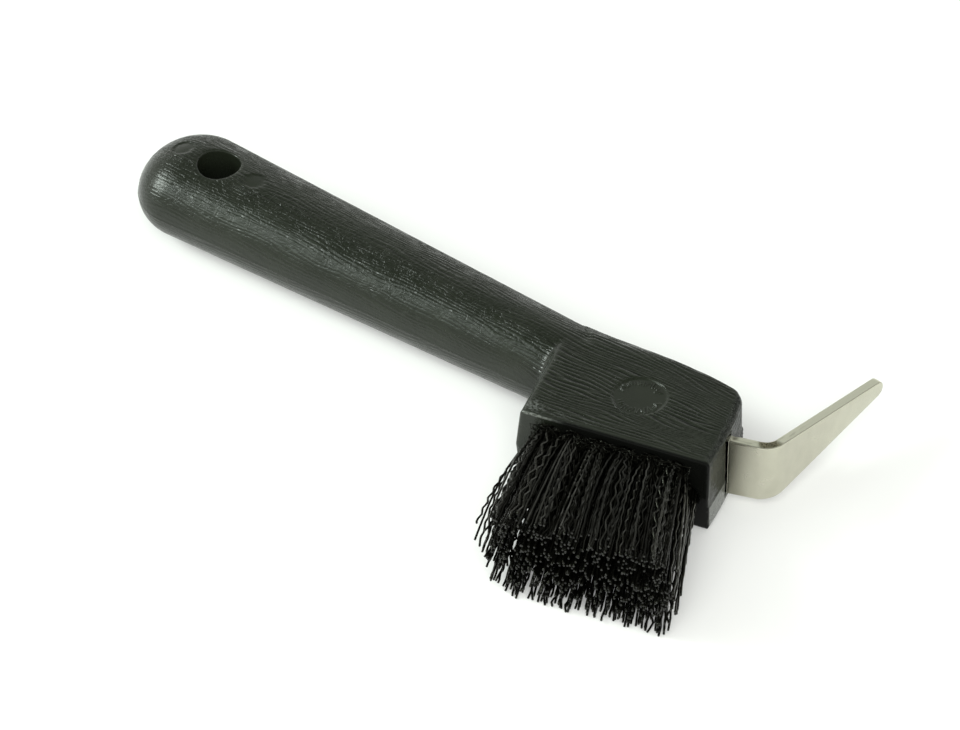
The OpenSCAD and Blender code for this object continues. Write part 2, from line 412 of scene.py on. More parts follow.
def nickel_material():
    """Satin nickel plate.

    The mesh's flow holds distance along the strip, across it and off its middle. Its wear holds the cut
    edges and the torn metal. The colour also has painted shade by the head and in the mouth's gap, and a
    painted highlight on the lip.
    """
    n = Nodes("plated_steel")
    flow = n.attribute("flow")
    along, _, _ = n.split(flow)
    cut, torn_share, _ = n.split(n.attribute("wear"))
    clouds = n.noise(n.stretch(flow, (0.35, 0.22, 0.0)), 1.0, detail=4.0, roughness=0.55)
    scratches = n.noise(n.stretch(flow, (9.0, 0.35, 0.0)), 1.0, detail=3.0, roughness=0.7)
    grit = n.noise(n.stretch(flow, (3.0, 3.0, 3.0)), 1.0, detail=4.0, roughness=0.75)
    bright = n.mix(n.spread(clouds, 0.3, 0.7), *NICKEL)
    torn = n.mix(n.spread(grit, 0.35, 0.65), *TORN_METAL)
    # painted shade near the head: the strip darkened by its root, standing for the dark head it reflects
    painted_head_reflection = n.spread(along, 0.0, HEAD_REFLECTION_LEN, 0.75, 0.0)
    bright = n.mix(painted_head_reflection, bright, PAINTED_HEAD_REFLECTION)
    # painted shade: black where the strip sits in the mouth's gap
    bright = n.mix(n.spread(along, ROOT_SHADE - 0.06, ROOT_SHADE, 1.0, 0.0), bright, PAINTED_GAP_SHADE)
    # painted highlight: a bright line on the lip by the mouth, mixed in with the cut edges
    lip = n.spread(n.math("ABSOLUTE", n.math("SUBTRACT", along, ROOT_LIP)), 0.04, 0.13, 1.0, 0.0)
    edges = n.math("MAXIMUM", cut, lip)
    bright = n.mix(edges, bright, CUT_METAL_AND_LIP_HIGHLIGHT)
    n.plug(n.shader.inputs["Base Color"], n.mix(torn_share, bright, torn))
    n.shader.inputs["Metallic"].default_value = 1.0
    shine = n.spread(clouds, 0.25, 0.75, 0.20, 0.28)
    n.plug(n.shader.inputs["Roughness"], n.math("ADD", shine, n.math("MULTIPLY", edges, 0.36)))
    normal = n.bump(scratches, 0.004, 0.5)
    rough = n.math("ADD", n.math("MULTIPLY", grit, torn_share), n.math("MULTIPLY", lip, 0.4))
    normal = n.bump(rough, 0.25, 1.0, normal)
    n.plug(n.shader.inputs["Normal"], normal)
    return n.material


def bristle_material():
    """Black synthetic filament, each with its own gloss and with faint lengthwise changes of tone."""
    n = Nodes("bristle")
    place = n.add("ShaderNodeTexCoord").outputs["Object"]
    tone = n.noise(place, 300.0, detail=3.0)
    n.plug(n.shader.inputs["Base Color"],
           n.mix(n.spread(tone, 0.3, 0.7), rgb(0.0015, 0.0015, 0.0012), rgb(0.0034, 0.0034, 0.0026)))
    n.plug(n.shader.inputs["Roughness"], n.spread(tone, 0.3, 0.7, 0.16, 0.26))
    gloss, _, _ = n.split(n.attribute("gloss"))
    n.plug(n.shader.inputs["Specular IOR Level"], n.spread(gloss, 0.1, 1.0, 0.08, 0.48))
    n.shader.inputs["Specular Tint"].default_value = rgb(1.0, 1.0, 0.84)
    n.plug(n.shader.inputs["Normal"], n.bump(n.noise(place, 6000.0), 0.01, 0.3))
    return n.material


def cut_end_material():
    """The paler, duller face where a filament was trimmed."""
    n = Nodes("bristle_cut_end")
    place = n.add("ShaderNodeTexCoord").outputs["Object"]
    tone = n.noise(place, 900.0, detail=2.0)
    n.plug(n.shader.inputs["Base Color"],
           n.mix(n.spread(tone, 0.3, 0.7), rgb(0.006, 0.006, 0.006), rgb(0.026, 0.026, 0.024)))
    n.plug(n.shader.inputs["Roughness"], n.spread(tone, 0.3, 0.7, 0.45, 0.65))
    n.shader.inputs["Specular IOR Level"].default_value = 0.25
    return n.material


def anchor_material():
    """Drawn wire: fine streaks along its length."""
    n = Nodes("anchor_wire")
    place = n.add("ShaderNodeTexCoord").outputs["Object"]
    streaks = n.noise(n.stretch(place, (400.0, 3000.0, 3000.0)), 1.0, detail=3.0)
    n.plug(n.shader.inputs["Base Color"],
           n.mix(streaks, rgb(0.50, 0.48, 0.42), rgb(0.66, 0.63, 0.55)))
    n.shader.inputs["Metallic"].default_value = 1.0
    n.plug(n.shader.inputs["Roughness"], n.spread(streaks, 0.3, 0.7, 0.28, 0.42))
    n.plug(n.shader.inputs["Normal"], n.bump(streaks, 0.01, 0.5))
    return n.material


# ---------------------------------------------------------------- handle

def along_grip(start, end, x):
    return start + (end - start) * x / NECK_X


def grip_half_w(x):
    return along_grip(GRIP_W, NECK_W, np.maximum(x, -BUTT_START)) / 2


def grip_half_t(x):
    return along_grip(GRIP_T, HEAD_T, np.maximum(x, -BUTT_START)) / 2


def grip_field(x, y, z):
    """The tapered oval grip with its round butt."""
    half_w, half_t = grip_half_w(x), grip_half_t(x)
    butt = np.minimum(x + BUTT_START, 0) / BUTT_LEN
    reach = np.sqrt(butt ** 2 + (y / half_w) ** 2 + (z / half_t) ** 2) + 1e-6
    slope = np.sqrt((butt / BUTT_LEN) ** 2 + (y / half_w ** 2) ** 2 + (z / half_t ** 2) ** 2) + 1e-6
    return (reach - 1) * reach / slope


def plane(x, y, through, outward):
    return (x - through[0]) * outward[0] + (y - through[1]) * outward[1]


FAR_START = (NECK_X - 3.0, grip_half_w(NECK_X - 3.0))
FAR_END = (BACK[0], BACK[1] + 0.2)
FAR_ANGLE = math.atan2(FAR_START[1] - FAR_END[1], FAR_END[0] - FAR_START[0])
FAR_OUT = (math.sin(FAR_ANGLE), math.cos(FAR_ANGLE))
TOP_EDGE_R, END_EDGE_R, LOW_EDGE_R, BACK_EDGE_R = 0.5, 1.5, 1.2, 1.8
TOE_R = 0.45
BOW_AT, END_BOW, END_CURVE = 9.7, 0.72, 0.0042
LOW_SAG = 0.5
INNER_FILLET = 2.6
END_PART_Z = -3.2
END_STEP = 0.22


def below_parting(z):
    """1 below the line where the mould's halves met on the head's outer end, 0 above it."""
    return smooth_step(END_PART_Z + 0.2, END_PART_Z - 0.2, z)


def head_planes(x, y, z):
    """Distances past the bristle face, the outer end, the inner end and the far side."""
    swell = DRAFT * (1 - np.minimum(np.abs(z) / (HEAD_T / 2), 1))
    face = plane(x, y, HEEL, FACE_OUT) - swell
    bow = END_BOW - END_CURVE * (plane(x, y, TOE, END_DIR) - BOW_AT) ** 2
    outer = plane(x, y, TOE, END_OUT) - 0.25 * swell - bow - below_parting(z) * END_STEP
    inner = -plane(x, y, HEEL, END_OUT) - swell
    far = plane(x, y, FAR_START, FAR_OUT) - 0.3 * swell * smooth_step(NECK_X, BACK[0], x)
    return face, outer, inner, far


def head_field(x, y, z):
    """The wedge-shaped head: its far side turns from the grip's oval to a nearly square edge."""
    face, outer, inner, far = head_planes(x, y, z)
    ends = rounded_max(rounded_max(face, outer, TOE_R), inner, CORNER_R)
    plan = rounded_max(ends, far, BACK_R)
    past_face = smooth_step(-1.5, 1.5, np.maximum(inner, outer) - face)
    top_edge = TOP_EDGE_R + (END_EDGE_R - TOP_EDGE_R) * past_face
    near_edge = np.where(z > 0, top_edge, LOW_EDGE_R)
    far_edge = NECK_W / 2 - 0.6 + (BACK_EDGE_R - NECK_W / 2 + 0.6) * smooth_step(NECK_X - 6, BACK[0] - 8, x)
    turn = smooth_step(-9, -1, far - ends)
    edge = near_edge + (far_edge - near_edge) * turn
    sag = LOW_SAG * smooth_step(HEEL[0], TOE[0], x)
    return rounded_max(plan, np.where(z > 0, z, -z - sag) - HEAD_T / 2, edge)


def face_frame(x, y):
    """Distance along the bristle face from the heel, and depth behind it."""
    return plane(x, y, HEEL, FACE_DIR), -plane(x, y, HEEL, FACE_OUT)


def tuft_place(row, i):
    return FACE_LEN / 2 + (i - (ROW_COUNTS[row] - 1) / 2) * TUFT_PITCH


def tuft_holes(x, y, z):
    """The three rows of blind holes, each point measured to the nearest hole of the row."""
    run, depth = face_frame(x, y)
    total = None
    for row, height in enumerate(ROW_HEIGHTS):
        index = np.round((run - tuft_place(row, 0)) / TUFT_PITCH)
        nearest = tuft_place(row, 0) + np.clip(index, 0, ROW_COUNTS[row] - 1) * TUFT_PITCH
        ring = np.hypot(run - nearest, z - height) - TUFT_HOLE_R
        hole = np.maximum(ring, depth - TUFT_HOLE_DEPTH)
        total = hole if total is None else np.minimum(total, hole)
    return total


def pick_frame(x, y):
    """Distance along the pick from its root, and off its middle."""
    run = (math.cos(PICK_EXIT), math.sin(PICK_EXIT))
    off = (-math.sin(PICK_EXIT), math.cos(PICK_EXIT))
    return plane(x, y, PICK_ROOT, run), plane(x, y, PICK_ROOT, off)


NEAR_GAP = 0.5      # how much wider the mouth gapes on the brush's side of the pick


def pick_pocket(x, y, z):
    """The mouth that the pick leaves by, and the pocket of its tang round two plastic keys."""
    run, off = pick_frame(x, y)
    wider = NEAR_GAP / 2
    mouth = np.abs(off + wider) - STEEL_T / 2 - MOUTH_GAP - wider
    mouth = np.maximum(mouth, np.abs(z) - PICK_W / 2 - MOUTH_GAP)
    mouth = np.maximum(mouth, -MOUTH_DEPTH - run)
    pocket = np.maximum(np.abs(off) - STEEL_T / 2, np.abs(z) - TANG_W / 2)
    pocket = np.maximum(pocket, np.abs(run + TANG_LEN / 2) - TANG_LEN / 2)
    for place in KEY_PLACES:
        pocket = np.maximum(pocket, KEY_R - np.hypot(run - place, z))
    return np.minimum(mouth, pocket)


def handle_field(x, y, z):
    grip = grip_field(x, y, z)
    grip = rounded_max(grip, x - NECK_X - 5, 1.0)
    fillet = 0.05 + INNER_FILLET * smooth_step(-1, -9, y)
    body = filleted_min(grip, head_field(x, y, z), fillet)
    body = rounded_max(body, HOLE_R - np.hypot(x, y), 0.4)
    body = rounded_max(body, -tuft_holes(x, y, z), 0.25)
    return rounded_max(body, -pick_pocket(x, y, z), 0.2)


HEAD_GRAIN_W, AXIS_SHARE = 33, 0.737        # the fan's width on the head, and the grip's middle in it
FAN_FROM, FAN_TO = 96, 116
END_LEAN, UNDER_SHIFT = 1.2, 40


def grain_flow(x, y, z):
    """Distances along and across the embossed grain, which fans out from the grip over the head."""
    round_turn = 0.75 * (grip_half_t(x) - np.abs(z))
    on_grip = y + np.sign(y) * round_turn * smooth_step(0, 3, np.abs(y))
    low_edge = HEEL[1] + math.tan(FACE_TILT) * (x - HEEL[0])
    high_edge = FAR_START[1] - math.tan(FAR_ANGLE) * (x - FAR_START[0])
    share = (y - low_edge) / np.maximum(high_edge - low_edge, 5)
    on_head = HEAD_GRAIN_W * (share - AXIS_SHARE) + np.sign(y) * 0.5 * (HEAD_T / 2 - np.abs(z))
    across = on_grip + (on_head - on_grip) * smooth_step(FAN_FROM, FAN_TO, x)
    on_end = smooth_step(-1.6, -0.5, head_planes(x, y, z)[1])
    along = x + (y - x) * on_end
    under = UNDER_SHIFT * (z < 0) * (1 - on_end)
    return along, across + (END_LEAN * z - across) * on_end + under


def grain_strength(x, y, z):
    """How deep the grain is pressed: none on the cut faces, in the seal and in the moulding marks."""
    face, outer, inner, _ = head_planes(x, y, z)
    past_grip = smooth_step(0.2, 1.5, grip_field(x, y, z))
    end_cut = smooth_step(-0.9, -0.3, outer) * (0.35 + 0.65 * below_parting(z))
    cut = np.maximum(smooth_step(-2.2, -0.5, face), end_cut)
    cut = np.maximum(cut, smooth_step(-1.6, -0.5, inner) * past_grip)
    seal = 1 - smooth_step(SEAL_R - 0.2, SEAL_R + 0.3, np.hypot(x - SEAL_AT[0], y - SEAL_AT[1]))
    seal = seal * (z > 0)
    to_mark = np.minimum(np.hypot(x - MARK_REACH, y), np.hypot(x + MARK_REACH, y))
    marks = 1 - smooth_step(MARK_R - 0.3, MARK_R + 0.3, to_mark)
    bore = 1 - smooth_step(HOLE_R + 0.2, HOLE_R + 0.8, np.hypot(x, y))
    grip = 1 - GRIP_CALM * smooth_step(NECK_X + 6, NECK_X - 6, x) * (1 + smooth_step(-3, -8, y))
    return grip * (1 - cut) * (1 - seal) * (1 - 0.95 * marks) * (1 - bore)


slow_warp = waves(SEED, 7, 46.0, 15.0)
quick_warp = waves(SEED + 1, 9, 16.0, 6.0)
second_warp = waves(SEED + 2, 8, 30.0, 10.0)
patchy = waves(SEED + 3, 9, 22.0, 4.5)
SEAL_SEAT = 0.15
GRAIN_PITCH = 0.88
GRAIN_DEPTH = 0.115
GRIP_CALM = 0.36                # how much weaker the grain is on the grip, and twice that on its brush side
SLOW_SHARE, QUICK_SHARE = 1.1, 0.38
SECOND_PITCH, SECOND_TURN, SECOND_SHARE = 1.22 * GRAIN_PITCH, 0.006, 0.9


def grain_relief(x, y, z):
    """Height of the wood grain: two families of wavering ridges that meet, part and fade."""
    along, across = grain_flow(x, y, z)
    warp = SLOW_SHARE * slow_warp(along, across) + QUICK_SHARE * quick_warp(along, across)
    first = np.sin(2 * math.pi * (across / GRAIN_PITCH + warp))
    other = across / SECOND_PITCH + SECOND_TURN * along + SECOND_SHARE * second_warp(along, across)
    second = np.sin(2 * math.pi * other)
    share = 0.5 + 0.5 * np.tanh(2.2 * patchy(along, across))
    ridges = first * (1 - 0.75 * share) + second * 0.75 * share
    return GRAIN_DEPTH * np.tanh(1.4 * ridges) * grain_strength(x, y, z)


def shallow_marks(x, y, z):
    """Two moulding marks by the hole and the seal's recess, pressed into the upper side."""
    depth = np.zeros(np.broadcast(x, y, z).shape)
    for at, dip in ((-MARK_REACH, 1.2 * MARK_DEPTH), (MARK_REACH, 0.8 * MARK_DEPTH)):
        rim = np.hypot(x - at, y)
        depth = depth + dip * (1 - smooth_step(MARK_R - 0.25, MARK_R + 0.2, rim))
    rim = np.hypot(x - SEAL_AT[0], y - SEAL_AT[1])
    depth = depth + (SEAL_DEPTH + SEAL_SEAT) * (1 - smooth_step(SEAL_R - 0.5, SEAL_R + 0.1, rim))
    return depth * (z > 4)


PARTING_RISE, PARTING_HALF_W = 0.10, 0.28
FLASH_REACH, FLASH_Z, FLASH_HALF_H = 1.3, -2.2, 2.2


def handle_detail(x, y, z):
    """The handle with its relief: the grain, the parting line, a nib of flash and the marks."""
    part_z = END_PART_Z * smooth_step(-1.5, -0.5, head_planes(x, y, z)[1])
    parting = PARTING_RISE * np.exp(-(((z - part_z) / PARTING_HALF_W) ** 2)) * (np.hypot(x, y) > HOLE_R + 1)
    _, depth = face_frame(x, y)
    parting = parting * smooth_step(0.5, 1.5, depth)
    to_corner = (x - BACK[0]) ** 2 + (y - BACK[1]) ** 2
    flash = np.exp(-to_corner / 2.5 - ((z - FLASH_Z) / FLASH_HALF_H) ** 6)
    relief = grain_relief(x, y, z) + parting + FLASH_REACH * flash - shallow_marks(x, y, z)
    return handle_field(x, y, z) - relief


# rubbed places on the head: x, y, their reach along x and y, and how worn they are
RUBBED = ((112.8, -24.6, 3.2, 2.6, 1.0), (120.5, -23.6, 4.0, 1.6, 0.6), (126.5, -21.6, 2.6, 2.0, 0.45))


def handle_wear(x, y, z):
    """Where the moulding is chipped and rubbed, and where it is smooth."""
    face, outer, inner, _ = head_planes(x, y, z)
    side = np.maximum(np.maximum(face, outer), inner)
    rim = smooth_step(-0.8, -0.1, side) * smooth_step(-0.8, -0.1, np.abs(z) - HEAD_T / 2)
    worn = 0.55 * rim
    for centre_x, centre_y, reach_x, reach_y, amount in RUBBED:
        spot = ((x - centre_x) / reach_x) ** 2 + ((y - centre_y) / reach_y) ** 2
        worn = worn + amount * np.exp(-spot) * (np.abs(z) > HEAD_T / 2 - 0.8)
    worn = np.clip(worn, 0, 1) * smooth_step(NECK_X + 2, NECK_X + 6, x)
    return worn, 1 - grain_strength(x, y, z)


def handle_painted_shade(x, y, z):
    """Where shade is painted on the head: its face beyond the heel, which the tufts shade, and more lightly
    the end behind the pick.
    """
    face, outer, _, _ = head_planes(x, y, z)
    run, _ = face_frame(x, y)
    on_face = smooth_step(-1.0, -0.3, face) * smooth_step(4, 12, run)
    behind = 0.6 * smooth_step(-0.9, -0.3, outer) * smooth_step(-4, 0, y)
    return np.maximum(on_face, behind)


def handle_painted_sheen(x, y, z):
    """Where a painted sheen lightens the plastic: the end's lower part, and the arris over the bristle face
    as a painted highlight.
    """
    face, outer, _, _ = head_planes(x, y, z)
    low_end = smooth_step(-0.9, -0.3, outer) * below_parting(z)
    arris = smooth_step(-0.55, -0.2, face) * smooth_step(-0.55, -0.2, z - HEAD_T / 2)
    return np.maximum(low_end, 0.7 * arris)


def build_handle(material):
    coarse = 1.0
    step = np.array((0.70, 0.25, 0.25)) * coarse
    points, quads = mesh_of_field(
        handle_field, handle_detail, (-23.3, -30.9, -12.6), (162.0, 17.3, 12.6), step)
    x, y, z = points.T
    flow = np.stack((*grain_flow(x, y, z), grain_strength(x, y, z)), axis=1)
    wear = np.stack((*handle_wear(x, y, z), grain_relief(x, y, z) / GRAIN_DEPTH), axis=1)
    # painted shade, painted sheen and an unused channel for the plastic
    painted_light = np.stack((handle_painted_shade(x, y, z), handle_painted_sheen(x, y, z), np.zeros(len(x))), axis=1)
    return add_object("handle_moulding", points, [quads], [material],
                      ["handle"], [("flow", flow), ("wear", wear), ("painted_light", painted_light)])


TICKS = 40
TICK_RELIEF = 0.36
PLATE_R, PLATE_T = SEAL_R + 0.35, 0.6
RIM_STEP = 0.14


def seal_relief(radius, angle):
    """Two arcs of plain short strokes of uneven length and slant, round a smooth middle."""
    rng = np.random.default_rng(SEED)
    start, stop = rng.uniform(3.7, 4.7, TICKS), rng.uniform(5.2, 5.8, TICKS)
    slant, jitter = rng.uniform(-0.5, 0.5, TICKS), rng.uniform(-0.18, 0.18, TICKS)
    height = rng.uniform(0.35, 1.0, TICKS)
    sector = angle / (2 * math.pi) * TICKS
    index = np.floor(sector).astype(int) % TICKS
    across = (sector - np.floor(sector) - 0.5 + jitter[index]) / TICKS * 2 * math.pi * radius
    middle = np.abs(across + slant[index] * (radius - 4.9))
    width = 1 - smooth_step(0.08, 0.28, middle)
    length = smooth_step(start[index] - 0.15, start[index] + 0.1, radius)
    length = length * (1 - smooth_step(stop[index] - 0.1, stop[index] + 0.15, radius))
    arcs = smooth_step(0.25, 0.45, np.abs(np.sin(angle - 0.5)))
    return TICK_RELIEF * height[index] * width * length * arcs


def build_seal(material):
    """The seal's sunk disc with its strokes raised on it and the wall that rises to the head's top face."""
    rings, spokes = 64, 14 * TICKS
    radius = PLATE_R * np.linspace(1 / rings, 1, rings)[:, None]
    angle = np.linspace(0, 2 * math.pi, spokes, endpoint=False)[None, :]
    flat = np.stack((SEAL_AT[0] + radius * np.cos(angle), SEAL_AT[1] + radius * np.sin(angle)), axis=-1)
    wall = SEAL_DEPTH * smooth_step(SEAL_R - RIM_STEP, SEAL_R + RIM_STEP, radius)
    top = HEAD_T / 2 - SEAL_DEPTH + wall + seal_relief(radius, angle)
    upper = np.concatenate((flat, top[..., None]), axis=-1).reshape(-1, 3)
    under = np.concatenate((flat[-1], np.full((spokes, 1), HEAD_T / 2 - SEAL_DEPTH - PLATE_T)), axis=-1)
    number = np.arange(rings * spokes).reshape(rings, spokes)
    low = rings * spokes + np.arange(spokes)
    loops = [*number, low]
    quads = [np.stack((a, b, np.roll(b, -1), np.roll(a, -1)), axis=-1) for a, b in zip(loops, loops[1:])]
    points = np.concatenate((upper, under))
    flow = np.zeros(points.shape)
    wear = np.tile((0.0, 1.0, 0.0), (len(points), 1))
    return add_object("seal_plate", points, [np.concatenate(quads), number[0][None], low[None, ::-1]],
                      [material], attributes=[("flow", flow), ("wear", wear)])


# ---------------------------------------------------------------- pick

ARC_LEN = BEND_R * BEND_ANGLE
OUTER_START = LEG_IN + ARC_LEN
TIP_CENTRE = LEG_OUT - TIP_R
TIP_SLOPE = math.atan((TAPER_W / 2 - TIP_R) / TIP_CENTRE)
ARRIS_R = 0.28
shear_lumps = waves(SEED + 4, 12, 1.6, 1.1)
shear_waves = waves(SEED + 5, 8, 5.0, 3.0)


def pick_outline(run, z):
    """Distance from the flat strip's outline: the tang, an even stretch, a taper and a round tip."""
    outer = run - OUTER_START
    half = np.interp(outer, (-20, -5, 0, TIP_CENTRE + TIP_R * math.sin(TIP_SLOPE)),
                     (PICK_W / 2, PICK_W / 2 - 0.2, TAPER_W / 2, TIP_R * math.cos(TIP_SLOPE)))
    body = (np.abs(z) - half) * math.cos(TIP_SLOPE)
    tip = np.hypot(outer - TIP_CENTRE, z) - TIP_R
    body = np.where(outer < TIP_CENTRE + TIP_R * math.sin(TIP_SLOPE), body, tip)
    body = rounded_max(body, -MOUTH_DEPTH - run, 0.3)
    tang = np.maximum(np.abs(z) - TANG_W / 2, np.abs(run + TANG_LEN / 2) - TANG_LEN / 2)
    outline = np.minimum(body, tang)
    for place in KEY_PLACES:
        outline = rounded_max(outline, KEY_R - 0.05 - np.hypot(run - place, z), 0.15)
    return outline


def pick_field(run, off, z):
    return rounded_max(pick_outline(run, z), np.abs(off) - STEEL_T / 2, ARRIS_R)


def pick_cut(run, off, z):
    """The narrow side of the strip, between its two arrises."""
    inside_faces = smooth_step(0.1, 0.35, STEEL_T / 2 - np.abs(off))
    return smooth_step(-0.7, -0.15, pick_outline(run, z)) * inside_faces


def pick_torn(run, off, z):
    """The rough stretch of the strip's narrow sides, beside the bend, where the metal tore."""
    stretch = smooth_step(6.0, 7.2, run + 0.6 * shear_waves(run, off)) * smooth_step(12.8, 11.0, run)
    streak = 0.25 * smooth_step(0.2, 0.6, shear_waves(run, 3 * off)) * smooth_step(26, 14, run)
    torn = pick_cut(run, off, z) * np.maximum(stretch, streak)
    return np.maximum(torn, pick_notch(run, off, z))


NOTCH_RUN, NOTCH_OFF, NOTCH_DEPTH = 0.9, 0.35, 0.9
NOTCH_HALF_L, NOTCH_HALF_W = 0.6, 0.5
GROOVE_DEPTH = 0.15


def pick_notch(run, off, z):
    """How deep the nick is in the narrow side close to the head."""
    away = ((run - NOTCH_RUN) / NOTCH_HALF_L) ** 2 + ((off - NOTCH_OFF) / NOTCH_HALF_W) ** 2
    return NOTCH_DEPTH * np.exp(-away) * (np.abs(z) > PICK_W / 2 - 1.2)


def pick_detail(run, off, z):
    rough = 0.14 * shear_lumps(run, off * 2) + 0.10 * shear_waves(run, off)
    groove = GROOVE_DEPTH * smooth_step(ROOT_LIP + 0.1, ROOT_LIP - 0.3, run)
    return pick_field(run, off, z) - rough * pick_torn(run, off, z) + pick_notch(run, off, z) + groove


def bend(points):
    """Bends the flat strip round its curve and puts it where it leaves the head."""
    run, off, z = points.T
    angle = np.clip((run - LEG_IN) / BEND_R, 0, BEND_ANGLE)
    before = np.minimum(run, LEG_IN)
    after = np.maximum(run - OUTER_START, 0)
    px = before + BEND_R * np.sin(angle) + after * np.cos(angle) - off * np.sin(angle)
    py = BEND_R * (1 - np.cos(angle)) + after * np.sin(angle) + off * np.cos(angle)
    x = PICK_ROOT[0] + px * math.cos(PICK_EXIT) - py * math.sin(PICK_EXIT)
    y = PICK_ROOT[1] + px * math.sin(PICK_EXIT) + py * math.cos(PICK_EXIT)
    return np.stack((x, y, z), axis=1)


def build_pick(material):
    length = OUTER_START + LEG_OUT
    low, high = (-TANG_LEN - 1.1, -1.75, -9.3), (length + 1, 1.75, 9.3)
    points, quads = mesh_of_field(pick_field, pick_detail, low, high, (0.30, 0.16, 0.30))
    run, off, z = points.T
    flow = np.stack((run, z, off), axis=1)
    wear = np.stack((pick_cut(run, off, z), pick_torn(run, off, z), np.zeros(len(run))), axis=1)
    return add_object("pick_strip", bend(points), [quads], [material],
                      ["pick_blade"], [("flow", flow), ("wear", wear)])


# ---------------------------------------------------------------- bristles

FILAMENT_R = 0.27
FILAMENT_SIDES = 6
HEX_RINGS = 3
ROOT_GAP = 0.70
TIP_GAPS = np.array((1.10, 1.34))
CRIMP_WAVES = (3.2, 6.4)
CRIMP_SLOPE = 0.10
STRAY_SHARE = 0.06
SPREAD_HASTE = 2.4
ROOT_DEPTH = 6.0
PATH_STEP = 0.7


def hex_places():
    """Unit hexagonal packing: one place in the middle and HEX_RINGS rings round it."""
    rings = range(-HEX_RINGS, HEX_RINGS + 1)
    return np.array([(a + b / 2, b * math.sqrt(3) / 2) for a, b in product(rings, rings)
                     if abs(a + b) <= HEX_RINGS])


def tuft_direction(row, i):
    lean = math.radians(LEAN_MID + ROW_GAINS[row] * (i - (ROW_COUNTS[row] - 1) / 2) * TUFT_PITCH)
    rise = math.radians(ROW_RISES[row])
    out = math.cos(rise) * math.cos(lean)
    side = math.cos(rise) * math.sin(lean)
    return np.array((out * FACE_OUT[0] + side * FACE_DIR[0], out * FACE_OUT[1] + side * FACE_DIR[1],
                     math.sin(rise)))


def tuft_paths(row, i, rng):
    """The middle line of every filament of a tuft, as an array of filament, step and coordinate."""
    face = np.array((*FACE_DIR, 0.0))
    out = np.array((*FACE_OUT, 0.0))
    up = np.array((0.0, 0.0, 1.0))
    direction = tuft_direction(row, i)
    foot = np.array((*HEEL, ROW_HEIGHTS[row])) + tuft_place(row, i) * face
    places = hex_places() @ rotation(rng.uniform(0, math.pi / 3))
    count = len(places)

    spread = TIP_GAPS * places + rng.normal(0, 1.05, (count, 2))
    strays = rng.random((count, 1)) < STRAY_SHARE
    spread = spread + strays * rng.normal(0, 2.6, (count, 2))
    length = BRISTLE_LEN + rng.normal(0, 0.4, (count, 1)) - strays * rng.uniform(0, 4, (count, 1))

    steps = int((BRISTLE_LEN + ROOT_DEPTH) / PATH_STEP)
    inside = int(ROOT_DEPTH / PATH_STEP)
    t = np.linspace(0, 1, steps - inside)[None, :, None]
    tip = (direction * length)[:, None]
    elbow = (0.4 * out + 0.6 * direction) * BRISTLE_LEN * 0.3
    middle = foot + 2 * t * (1 - t) * elbow + t ** 2 * tip
    opening = 1 - (1 - t) ** SPREAD_HASTE
    across = (ROOT_GAP * places)[:, None] * (1 - opening) + spread[:, None] * opening
    free = middle + across[..., :1] * face + across[..., 1:] * up
    depth = np.linspace(ROOT_DEPTH, 0, inside, endpoint=False)[None, :, None]
    path = np.concatenate((free[:, :1] - depth * out, free), axis=1)

    distance = np.concatenate((np.full(inside, 0.0), t[0, :, 0] * BRISTLE_LEN))[None, :]
    wave = rng.uniform(*CRIMP_WAVES, (count, 1))
    reach = CRIMP_SLOPE * wave * (0.12 + 1.1 * rng.random((count, 1)) ** 2)
    turns = 2 * math.pi * distance / wave + rng.uniform(0, 2 * math.pi, (count, 1))
    ripple = reach * smooth_step(0.5, 6, distance) * (np.sin(turns) - np.sin(3 * turns) / 9)
    drift = 0.6 * rng.normal(0, 1, (count, 1)) * np.sin(math.pi * distance / BRISTLE_LEN)
    heading, sway = rng.uniform(0, 2 * math.pi, (2, count, 1))
    side = ripple * np.cos(heading) + drift * np.cos(sway)
    lift = ripple * np.sin(heading) + drift * np.sin(sway)
    path = path + side[..., None] * face + lift[..., None] * up
    path[..., 2] = np.maximum(path[..., 2], FLOOR_Z + 1.4 * FILAMENT_R)
    return path


def rotation(angle):
    return np.array(((math.cos(angle), -math.sin(angle)), (math.sin(angle), math.cos(angle))))


def tubes(paths, radius, sides):
    """Round tubes along the paths: points, side quads and end caps."""
    count, steps, _ = paths.shape
    tangent = np.gradient(paths, axis=1)
    tangent /= np.linalg.norm(tangent, axis=2, keepdims=True)
    side = np.cross(tangent, (0.0, 0.0, 1.0))
    side /= np.linalg.norm(side, axis=2, keepdims=True)
    other = np.cross(side, tangent)
    angle = np.arange(sides) * 2 * math.pi / sides
    ring = side[:, :, None] * np.cos(angle)[:, None] + other[:, :, None] * np.sin(angle)[:, None]
    points = (paths[:, :, None] + radius * ring).reshape(-1, 3)
    number = np.arange(count * steps * sides).reshape(count, steps, sides)
    after = np.roll(number, -1, axis=2)
    quads = np.stack((number[:, :-1], number[:, 1:], after[:, 1:], after[:, :-1]), axis=-1).reshape(-1, 4)
    start_caps = number[:, 0]
    end_caps = number[:, -1, ::-1]
    return points, quads, start_caps, end_caps


def filament_gloss(count, points, rng):
    """One random gloss for each filament, given to every point of it."""
    gloss = np.zeros((points, 3))
    gloss[:, 0] = np.repeat(rng.random(count), points // count)
    return gloss


